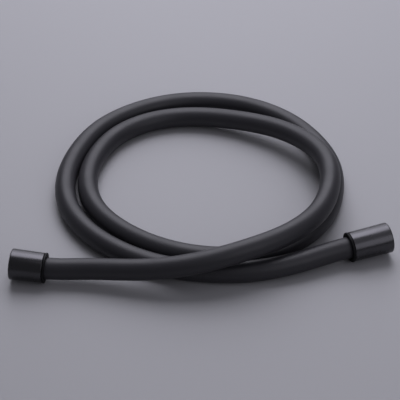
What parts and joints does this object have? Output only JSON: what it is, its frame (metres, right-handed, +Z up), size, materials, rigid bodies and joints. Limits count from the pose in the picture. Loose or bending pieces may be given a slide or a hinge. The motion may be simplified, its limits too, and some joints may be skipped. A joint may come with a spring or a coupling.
{
  "type": "shower hose",
  "caption": "Smooth black shower hose lying in loose coils, with a short cone nut at the wall end and a long cone nut at the handset end.",
  "frame": {"origin": "on the surface that the hose lies on, under the middle of its box", "axes": "+Z up, +X from the wall nut's side to the handset nut's side, -Y towards the side where both nuts lie"},
  "size_m": [0.2919, 0.2522, 0.0355],
  "materials": {
    "hose": "smooth semi-gloss black plastic",
    "nut": "polished gunmetal plating",
    "bush": "black plastic",
    "insert": "turned brass",
    "ferrule": "drawn steel",
    "washer": "matt rubber",
    "slip_ring": "natural white plastic"
  },
  "bodies": {
    "hose_body": {"hose": "hose", "wall_insert": "insert", "wall_ferrule": "ferrule", "handset_insert": "insert", "handset_ferrule": "ferrule"},
    "wall_nut_body": {"wall_nut": "nut", "wall_washer": "washer", "wall_bush": "bush"},
    "handset_nut_body": {"handset_nut": "nut", "handset_washer": "washer", "handset_slip_ring": "slip_ring", "handset_bush": "bush"}
  },
  "joints": [
    {"name": "wall_nut_spin", "type": "hinge", "parent": "hose_body", "child": "wall_nut_body", "pos_m": [-0.145, -0.1057, 0.01318], "axis": [-0.9911, 0.1182, 0.061], "continuous": true},
    {"name": "handset_nut_spin", "type": "hinge", "parent": "hose_body", "child": "handset_nut_body", "pos_m": [0.1419, -0.0748, 0.01357], "axis": [0.9514, 0.3018, 0.061], "continuous": true}
  ]
}
